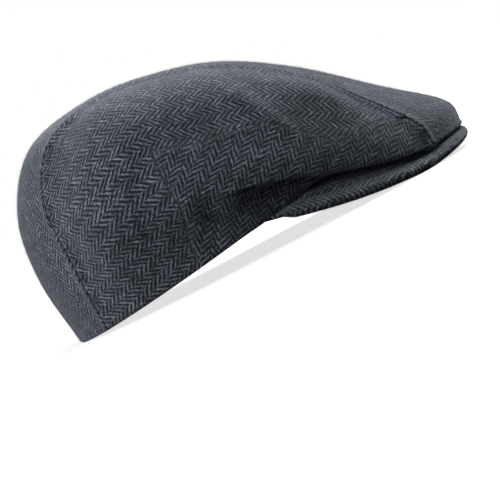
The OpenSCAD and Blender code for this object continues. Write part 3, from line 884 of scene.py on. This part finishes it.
def soft_shape(s, r):
    """Hollows and swells of the soft side: drawn in before the gusset, full above the fold."""
    swells = sum(high * hump(s, at, long) * hump(r, down, wide) for high, at, long, down, wide in SWELLS)
    return swells + sum(high * crease(s, r, start, end, wide) for high, start, end, wide in CREASES)


def beside_gusset(gap, way):
    """Close stations beside the rear seam of the gusset, behind it (-1) or before it (1)."""
    return GUSSET_REAR + way * (EDGE_STEPS[:CLOSE_ROWS] + gap) / STATION


class CAP_OT_centre_panel(bpy.types.Operator):
    """Middle panel of the crown, from the rear rim over the top to the fold above the peak"""

    bl_idname = "flat_cap.centre_panel"
    bl_label = "Centre panel"

    def execute(self, context):
        cap = form()
        size = cap.size
        over = even(lambda t: cap.strip(t, 0.6), 0, SEAM_FOLD, WOOL_STEP)
        under = even(lambda t: cap.strip(t, 0.6), SEAM_FOLD, SEAM_FOLD + 1, WOOL_STEP)
        s = np.concatenate([over, under[1:]])
        rows = []
        for row in s:
            half = curve(cap.seam, min(row, SEAM_FOLD))[0]
            d = from_edges(2 * half - size.seam_gap, MIDDLE_COLS)
            rows.append((d - d[-1] / 2) / half)
        x = np.array(rows)
        grid = cap.strip(s[:, None], x)
        across, along = arc(grid, 1), arc(grid, 0)
        edge = np.minimum(across, across[:, -1:] - across)
        lift = seam_swell(edge) - HEM_DRAW * hem_line(along.mean(1, keepdims=True))
        grid = grid + outward(grid) * lift[..., None]
        middle = along[:, along.shape[1] // 2][:, None] + 0 * x
        uv = np.stack([across - across[:, -1:] / 2, mix(middle, along, 0.6)], -1)
        dress("crown_centre_panel", grid, uv, size.cloth_t, herringbone(), seed=1, seams=edge)
        return {"FINISHED"}


class CAP_OT_side_panels(bpy.types.Operator):
    """The two side panels: rear wall and long upper arm in one cloth"""

    bl_idname = "flat_cap.side_panels"
    bl_label = "Side panels"

    def execute(self, context):
        cap = form()
        size = cap.size
        gap = size.seam_gap / 2
        near = gap / STATION
        rear = even(lambda t: cap.side(t, 0.9), near, GUSSET_REAR - near, WOOL_STEP)
        rear = np.sort(np.concatenate([rear[:-SPARED_ROWS], beside_gusset(gap, -1)]))
        arm = even(lambda t: cap.side(t, 0.3), GUSSET_REAR + near, GUSSET_TIP, WOOL_STEP)
        s = np.concatenate([rear, arm])
        n_rear = len(rear)
        t = np.linspace(0, 1, ARM_COLS + 1)
        rows = []
        for row in s:
            top = cap.side_share(row, gap)
            corner = max(cap.gusset_edge(max(row, GUSSET_REAR)) - top, top + 0.02)
            wall = np.linspace(corner, 2, WALL_COLS + 1)[1:]
            rows.append(np.concatenate([mix(top, corner, mix(t, ease(t), 0.6)), wall]))
        r = np.array(rows)
        grid = cap.side(s[:, None], r)
        down, along = arc(grid, 1), arc(grid, 0)
        to_corner = (down[:, ARM_COLS:ARM_COLS + 1] - down)[:, :ARM_COLS + 1]
        to_last_row = (along[n_rear - 1:n_rear] - along)[:n_rear]
        to_gusset = np.full(grid.shape[:2], FAR)
        to_gusset[n_rear:, :ARM_COLS + 1] = to_corner[n_rear:]
        to_gusset[:n_rear, ARM_COLS:] = to_last_row[:, ARM_COLS:]
        slant = np.hypot(np.maximum(to_corner[:n_rear, :-1], 0), to_last_row[:, :ARM_COLS])
        to_gusset[:n_rear, :ARM_COLS] = slant
        to_rim = np.full(grid.shape[:2], FAR)
        to_rim[:n_rear] = (down[:, -1:] - down)[:n_rear]
        lift = (seam_swell(down) + seam_swell(along) + seam_swell(to_gusset, *FLAT_SEAM)
                - HEM_DRAW * hem_line(to_rim) + soft_shape(s[:, None], r))
        grid = grid + outward(grid) * lift[..., None]
        edge = np.minimum(np.minimum(down, along), to_gusset)
        held = np.ones(grid.shape[:2], bool)
        held[n_rear:, ARM_COLS + 1:] = False
        keep = np.ones((len(s) - 1, ARM_COLS + WALL_COLS), bool)
        keep[n_rear - 1:, ARM_COLS:] = False
        turn = mix(np.interp(s, *SIDE_GRAIN)[:, None], SIDE_GRAIN_LOW, ease((r - 0.5) / 0.5))
        uv = ClothMeasures(grid, held).solve(turn)
        for side in SIDES:
            dress("crown_side_{}", grid, uv, size.cloth_t, herringbone(), side, 2, keep=keep, seams=edge)
        return {"FINISHED"}


class CAP_OT_front_gussets(bpy.types.Operator):
    """The two lower front pieces, turned under above the peak"""

    bl_idname = "flat_cap.front_gussets"
    bl_label = "Front gussets"

    def execute(self, context):
        cap = form()
        size = cap.size
        gap = size.seam_gap / 2
        near = gap / STATION
        s = even(lambda t: cap.side(t, 1.0), GUSSET_REAR + near, SIDE_LAST - near, WOOL_STEP)
        s = np.sort(np.concatenate([beside_gusset(gap, 1), s[SPARED_ROWS:]]))
        t = np.linspace(0, 1, GUSSET_COLS + 1)
        rows = []
        for row in s:
            top = cap.side_share(row, gap) + (0 if row > GUSSET_TIP else cap.gusset_edge(row))
            rows.append(mix(top, 2, mix(t * t, t, 0.55)))
        r = np.array(rows)
        grid = cap.side(s[:, None], r)
        down, along = arc(grid, 1), arc(grid, 0)
        to_rim = down[:, -1:] - down
        to_front = along[-1:] - along + np.where(s[:, None] > SIDE_LAST - 1, 0, FAR)
        lift = (seam_swell(down, *FLAT_SEAM) + seam_swell(along, *FLAT_SEAM) + seam_swell(to_front)
                - HEM_DRAW * hem_line(to_rim) + soft_shape(s[:, None], r))
        press = RIM_PRESS * hem_line(to_rim) * ease((s[:, None] - PRESS_FROM) / PRESS_OVER)
        grid = grid + outward(grid) * lift[..., None] - UP * press[..., None]
        edge = np.minimum(np.minimum(down, along), to_front)
        uv = ClothMeasures(grid).solve(np.interp(s, *GUSSET_GRAIN)[:, None])
        for side in SIDES:
            dress("front_gusset_{}", grid, uv, size.cloth_t, herringbone(), side, 3, seams=edge)
        return {"FINISHED"}


# Points round the rolled edge of the peak and from there to the rim
ROLL_COLS, PEAK_COLS = 9, 40
# Where the peak is sewn to the rim: the strip's width, how far it goes in, and the gap that is left
TIE_WIDE, TIE_INWARD, TIE_GAP = 0.004, 0.0018, 0.00003
# Line pressed into the covers along the edge: depth, distance and width
PEAK_LINE_DEEP, PEAK_LINE_AT, PEAK_LINE_WIDE = 0.0005, 0.0105, 0.0009
# Thickness of the peak at its corners as a share, and the stations over which it grows to the whole
CORNER_SHARE, CORNER_REACH = 0.15, 0.6
# By how much the covers are thinner than in the source
COVER_SPARE = 0.0002


class CAP_OT_peak(bpy.types.Operator):
    """Covers of the peak, rolled round the edge of its board"""

    bl_idname = "flat_cap.peak"
    bl_label = "Peak"

    def execute(self, context):
        cap = form()
        size = cap.size
        t = even(lambda t: cap.peak_top(t, 0 * t), 2 * cap.peak_tip, 0, WOOL_STEP)
        radius = cap.peak_half_t
        depth = cap.peak_depth(t)
        roll = radius * (1 - np.cos(np.linspace(0, math.pi / 2, ROLL_COLS)))
        back = np.array([np.concatenate([roll, np.linspace(radius, d, PEAK_COLS)[1:]]) for d in depth])
        skin = cap.peak_top(t[:, None] + 0 * back, back)
        angle = mix(size.peak_corner, math.pi, t / cap.peak_tip)
        inward = unit(cap.rim(angle, 0.001) - cap.rim(angle))[:, None]
        tie = ease(1 - (depth[:, None] - back) / TIE_WIDE)[..., None]
        skin = skin + tie * (inward * TIE_INWARD + UP * (size.layer_gap - TIE_GAP))
        normal = outward(skin)
        off = np.maximum(radius * np.sqrt(1 - (1 - np.clip(back / radius, 0, 1)) ** 2), size.layer_gap)
        off = off - PEAK_LINE_DEEP * hump(arc(skin, 1), PEAK_LINE_AT, PEAK_LINE_WIDE)
        to_corner = np.minimum(t, 2 * cap.peak_tip - t)
        full = mix(CORNER_SHARE, 1, ease(to_corner / CORNER_REACH))[:, None]
        uv = np.stack([skin[..., 0], skin[..., 1] - 0.5 * skin[..., 2]], -1)
        for name, way in (("upper", 1), ("under", -1)):
            grid = skin + normal * (full * (way * off - radius))[..., None]
            thickness = size.cover_t - COVER_SPARE
            dress("peak_{}_cover", grid[::way], uv[::way], thickness, herringbone(), name, 4)
        board = frame["nodes"]["peak_board"].data
        board.materials.clear()
        board.materials.append(pressed_board())
        return {"FINISHED"}


# The canvas: its distance from a seam, and its ends along the middle panel and along the sides
CANVAS_CUT = 0.003
CANVAS_MIDDLE, CANVAS_SIDE = (1.25, 8.95), (0.1, 4.4)
# Lower edge of the side canvas, on the rear wall and above the gusset
CANVAS_LOW = 0.95, 0.85


class CAP_OT_interlining(bpy.types.Operator):
    """Canvas behind the crown"""

    bl_idname = "flat_cap.interlining"
    bl_label = "Interlining"

    def behind(self, grid, size):
        """Points behind the cloth, and the measures of the weave on them."""
        grid = grid - outward(grid) * (size.cloth_t + size.inter_gap)
        return grid, np.stack([arc(grid, 1), arc(grid, 0)], -1)

    def execute(self, context):
        cap = form()
        size = cap.size
        s = even(lambda t: cap.strip(t, 0.5), *CANVAS_MIDDLE, CANVAS_STEP)
        cut = CANVAS_CUT / np.array([curve(cap.seam, row)[0] for row in s])[:, None]
        grid, uv = self.behind(cap.strip(s[:, None], np.linspace(-1, 1, 25) * (1 - cut)), size)
        dress("interlining_centre", grid, uv, size.inter_t, canvas())
        s = even(lambda t: cap.side(t, 0.5), *CANVAS_SIDE, CANVAS_STEP)
        low = mix(*CANVAS_LOW, ease(s - GUSSET_REAR))
        r = mix(cap.side_share(s, CANVAS_CUT)[:, None], low[:, None], np.linspace(0, 1, 21))
        grid, uv = self.behind(cap.side(s[:, None], r), size)
        for side in SIDES:
            dress("interlining_{}", grid, uv, size.inter_t, canvas(), side)
        return {"FINISHED"}


# Room left inside the lining's side for its folds, and the draw of its seams
LINING_ROOM, LINING_SEAM = 0.0013, 0.0006
# Height of the waves in the oval tip, and its size as a share of the opening that it fills
TIP_WAVE, TIP_SHARE = 0.0009, 0.998


class CAP_OT_lining(bpy.types.Operator):
    """Satin lining: two halves of its side and an oval tip"""

    bl_idname = "flat_cap.lining"
    bl_label = "Lining"

    def execute(self, context):
        cap = form()
        size = cap.size
        angle = np.radians(np.linspace(0.04, 179.96, 220))
        dome = mix(size.lining_tip, 1, np.cos(np.linspace(0, math.pi / 2, 40)))
        out = np.concatenate([np.linspace(2, 1, 14)[:-1], dome])
        grid = cap.lining(angle[:, None], out[None, :] + 0 * angle[:, None], cap.lining_inset)
        wide = 0.0008 * np.sin(angle * 17 + 2.0 * np.sin(angle * 5))
        fine = 0.0004 * np.sin(angle * 41 + 1)
        gather = 0.0007 * np.sin(angle * 90 + 3 * np.sin(angle * 11))
        fold = (wide + fine)[:, None] + gather[:, None] * hump(out, size.lining_tip + 0.03, 0.05)
        free = ease((1.0 - out) / 0.08) * ease((out - size.lining_tip) / 0.02)
        round_rim = arc(grid, 0)
        seam = seam_swell(np.minimum(round_rim, round_rim[-1:] - round_rim), 0.0, LINING_SEAM)
        grid = grid + outward(grid) * ((fold - LINING_ROOM) * free[None, :] + seam)[..., None]
        uv = np.stack([arc(grid, 0), arc(grid, 1)], -1)
        for side in SIDES:
            dress("lining_band_{}", grid, uv, size.lining_t, satin(), side)
        self.tip(cap, size)
        return {"FINISHED"}

    def tip(self, cap, size):
        """Oval top: a square grid of points drawn out to a round one."""
        p = np.linspace(-1, 1, 61)
        p, q = np.meshgrid(p, p, indexing="ij")
        turn = np.arctan2(p * np.sqrt(1 - q * q / 2), q * np.sqrt(1 - p * p / 2))
        out = np.sqrt(np.clip(p * p + q * q - p * p * q * q, 0, None)) * size.lining_tip * TIP_SHARE
        grid = cap.lining(turn, out, cap.lining_inset)
        wave = TIP_WAVE * np.sin(grid[..., 0] * 120 + 3 * np.sin(grid[..., 1] * 45)) - TIP_WAVE
        lift = wave * ease((size.lining_tip - out) / 0.06)
        lift = lift - LINING_SEAM * hump(out, size.lining_tip * TIP_SHARE, 0.012)
        grid = grid + outward(grid) * lift[..., None]
        dress("lining_tip", grid, grid[..., :2], size.lining_t, satin())


def dress_ring(kind, cap, inset, thickness, low, high, material, sew=None):
    """Upright band inside the rim."""
    angle = np.linspace(0, math.tau, 241)
    up = np.linspace(high, low, 25)
    grid = cap.rim(angle[:, None] + 0 * up, inset)
    grid[..., 2] = up
    uv = np.stack([arc(grid, 0), arc(grid, 1)], -1)
    dress(kind, grid, uv, thickness, material, sew=sew, closed=True)


def add_thread(bm, sides, first, last, long, turn, middle):
    """A straight length of thread, with the radii of its ends, turned and set on its middle."""
    made = bmesh.ops.create_cone(bm, cap_ends=True, segments=sides, radius1=first, radius2=last, depth=long)
    bmesh.ops.rotate(bm, verts=made["verts"], cent=(0, 0, 0), matrix=turn)
    bmesh.ops.translate(bm, verts=made["verts"], vec=middle)


def stitch_rows(name, cap, inset, heights, long=0.0026, gap=0.0012, thick=0.00028):
    """Rows of sewing stitches round the inside of the rim, each one a short straight thread."""
    turn = np.linspace(0, math.tau, 4001)
    path = arc(cap.rim(turn[:, None], inset), 0)[:, 0]
    starts = np.arange(0, path[-1] - long, long + gap)
    bm = bmesh.new()
    for high in heights:
        for start in starts:
            at = np.interp([start, start + long], path, turn)
            ends = [Vector(cap.laid(cap.rim(np.array(a), inset) + UP * high)) for a in at]
            along = ends[1] - ends[0]
            lie = along.to_track_quat("Z", "Y").to_matrix()
            add_thread(bm, 6, thick, thick, along.length, lie, (ends[0] + ends[1]) / 2)
    return finish_piece(name, bm, sewing_thread())


# Distance of the two rows of stitches from the lower and the upper edge of the band
STITCH_LOW, STITCH_HIGH = 0.0022, 0.0024


class CAP_OT_band(bpy.types.Operator):
    """Sweatband with its two rows of stitches, and the stay tape behind it"""

    bl_idname = "flat_cap.band"
    bl_label = "Sweatband"

    def execute(self, context):
        cap = form()
        size = cap.size
        low, high = size.band_lift, cap.band_top
        dress_ring("rim_stay_tape", cap, cap.tape_inset, size.tape_t, low, low + size.tape_h, tape_weave())
        rows = low + STITCH_LOW, high - STITCH_HIGH
        inside = cap.band_inset + size.band_t
        dress_ring("sweatband", cap, cap.band_inset, size.band_t, low, high, ribbed(),
                   lambda: stitch_rows("sweatband_stitches", cap, inside, rows))
        return {"FINISHED"}


# Tacks: width that holds the points of one, its turns of thread, their radius and their lean in radians
TACK_SPACE, TACK_TURNS, TACK_RADIUS, TACK_LEAN = 0.02, 5, 0.00045, 0.16
# Radii of the thread at its ends, and how far it goes into the cloth above and below
TACK_THREAD, TACK_INTO = (0.00032, 0.00026), 0.0006


class CAP_OT_tacks(bpy.types.Operator):
    """Thread tacks that hold the crown's front down on the peak"""

    bl_idname = "flat_cap.tacks"
    bl_label = "Front tacks"

    def execute(self, context):
        bm = bmesh.new()
        spots = {}
        for v in frame["nodes"]["front_tacks"].data.vertices:
            spots.setdefault(round(v.co.x / TACK_SPACE), []).append(v.co)
        for points in spots.values():
            centre = sum((Vector(p) for p in points), Vector()) / len(points)
            top = max(p.z for p in points) + TACK_INTO
            bottom = min(p.z for p in points) - TACK_INTO
            for turn in range(TACK_TURNS):
                a = turn * math.tau / TACK_TURNS
                at = centre + TACK_RADIUS * Vector((math.cos(a), math.sin(a), 0))
                at.z = (top + bottom) / 2
                lean = Matrix.Rotation(TACK_LEAN * math.cos(a), 3, "X")
                add_thread(bm, 10, *TACK_THREAD, top - bottom, lean, at)
        piece = finish_piece("front_tacks_thread", bm, sewing_thread())
        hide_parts("front_tacks")
        return {"FINISHED"}


# Studio

# Light of the white surroundings on the cap; the camera sees them at full strength
SKY_LIGHT = 0.02
LAMP_AIM = Vector((0, 0, 0.06))
# Name, place, diameter and watts
LAMPS = (
    ("rear_lamp", (0.35, 1.4, 0.3), 0.9, 6),
    ("far_lamp", (0.9, -0.5, 0.95), 0.9, 6),
    ("top_lamp", (-0.5, -0.1, 1.25), 0.7, 4.5),
    ("side_lamp", (-0.7, 1.1, 0.7), 0.7, 13.5),
    ("front_lamp", (0.6, -0.95, 1.0), 0.9, 23),
)
# Camera: turn towards the back, rise and roll in degrees, and distance in metres
CAMERA_TURN, CAMERA_RISE, CAMERA_ROLL, CAMERA_AWAY = 8, 2.5, 35.6, 2.0
# The place in the cap that the camera is level with, and the middle of the picture aside and up from it
CAMERA_LEVEL, PICTURE_ASIDE, PICTURE_UP = np.array([0, 0.130, 0.040]), 0.0209, -0.0521
# Metres to a pixel at that distance, pixels across the picture, and millimetres across the sensor
PIXEL, PICTURE_PIXELS, SENSOR = 0.00061, 500, 36


class CAP_OT_studio(bpy.types.Operator):
    """Pale floor, soft lamps and the camera"""

    bl_idname = "flat_cap.studio"
    bl_label = "Studio"

    def execute(self, context):
        scene = context.scene
        scene.view_settings.view_transform = "Standard"
        bm = bmesh.new()
        bmesh.ops.create_circle(bm, cap_ends=True, segments=96, radius=6)
        mesh = bpy.data.meshes.new("floor")
        bm.to_mesh(mesh)
        bm.free()
        mesh.materials.append(pale_floor())
        floor = bpy.data.objects.new("floor", mesh)
        scene.collection.objects.link(floor)
        scene.world = bpy.data.worlds.new("studio_white")
        k = Nodes(scene.world)
        rays = k.add("ShaderNodeLightPath").outputs
        seen = k.math("MAXIMUM", rays["Is Camera Ray"], rays["Is Glossy Ray"])
        k.fill(k.tree.nodes["Background"], Color=(1, 1, 1, 1), Strength=k.span(seen, 0, 1, SKY_LIGHT, 1.0))
        for name, place, size, watts in LAMPS:
            lamp = bpy.data.lights.new(name, "AREA")
            lamp.shape = "DISK"
            lamp.size = size
            lamp.energy = watts
            hung = bpy.data.objects.new(name, lamp)
            hung.location = place
            hung.rotation_euler = (LAMP_AIM - Vector(place)).to_track_quat("-Z", "Y").to_euler()
            scene.collection.objects.link(hung)
        self.camera(scene)
        return {"FINISHED"}

    def camera(self, scene):
        """Camera level with the rim on the wearer's right, a little behind, rolled as in the photograph."""
        lay = form().laid
        turn, rise, roll = (math.radians(a) for a in (CAMERA_TURN, CAMERA_RISE, CAMERA_ROLL))
        ahead = np.array([-math.cos(turn) * math.cos(rise), math.sin(turn) * math.cos(rise), -math.sin(rise)])
        right = np.array([math.sin(turn), math.cos(turn), 0])
        over = np.cross(right, ahead)
        side = right * math.cos(roll) - over * math.sin(roll)
        top = right * math.sin(roll) + over * math.cos(roll)
        middle = CAMERA_LEVEL + side * PICTURE_ASIDE + top * PICTURE_UP
        eye = Vector(lay(CAMERA_LEVEL - ahead * CAMERA_AWAY))
        back = (eye - Vector(lay(middle))).normalized()
        across = Vector(lay(middle + top) - lay(middle)).cross(back).normalized()
        data = bpy.data.cameras.new("camera")
        data.sensor_width = SENSOR
        data.lens = SENSOR * (CAMERA_AWAY / PIXEL) / PICTURE_PIXELS
        data.clip_start, data.clip_end = 0.05, 50
        camera = bpy.data.objects.new("camera", data)
        turned = Matrix((across, back.cross(across), back)).transposed()
        camera.matrix_world = Matrix.Translation(eye) @ turned.to_4x4()
        scene.collection.objects.link(camera)
        scene.camera = camera


class CAP_PT_panel(bpy.types.Panel):
    """Sizes, colours and steps of the cap"""

    bl_idname = "CAP_PT_panel"
    bl_label = "Flat cap"
    bl_space_type = "VIEW_3D"
    bl_region_type = "UI"
    bl_category = "Flat cap"

    def draw(self, context):
        column = self.layout.column()
        for group in (context.scene.flat_cap_sizes, context.scene.flat_cap_cloth):
            for name in group.bl_rna.properties.keys():
                if name not in ("rna_type", "name"):
                    column.prop(group, name)
        for step in STEPS:
            column.operator(step.bl_idname)


STEPS = (
    CAP_OT_studio,
    CAP_OT_centre_panel,
    CAP_OT_side_panels,
    CAP_OT_front_gussets,
    CAP_OT_peak,
    CAP_OT_interlining,
    CAP_OT_lining,
    CAP_OT_band,
    CAP_OT_tacks,
)
CLASSES = (FlatCapSizes, FlatCapCloth, *STEPS, CAP_PT_panel)


def register():
    for c in CLASSES:
        bpy.utils.register_class(c)
    bpy.types.Scene.flat_cap_sizes = bpy.props.PointerProperty(type=FlatCapSizes)
    bpy.types.Scene.flat_cap_cloth = bpy.props.PointerProperty(type=FlatCapCloth)


def unregister():
    del bpy.types.Scene.flat_cap_cloth
    del bpy.types.Scene.flat_cap_sizes
    for c in reversed(CLASSES):
        bpy.utils.unregister_class(c)


def main():
    register()
    for step in STEPS:
        group, name = step.bl_idname.split(".")
        getattr(getattr(bpy.ops, group), name)()
    bpy.context.view_layer.update()


if __name__ == "__main__":
    main()
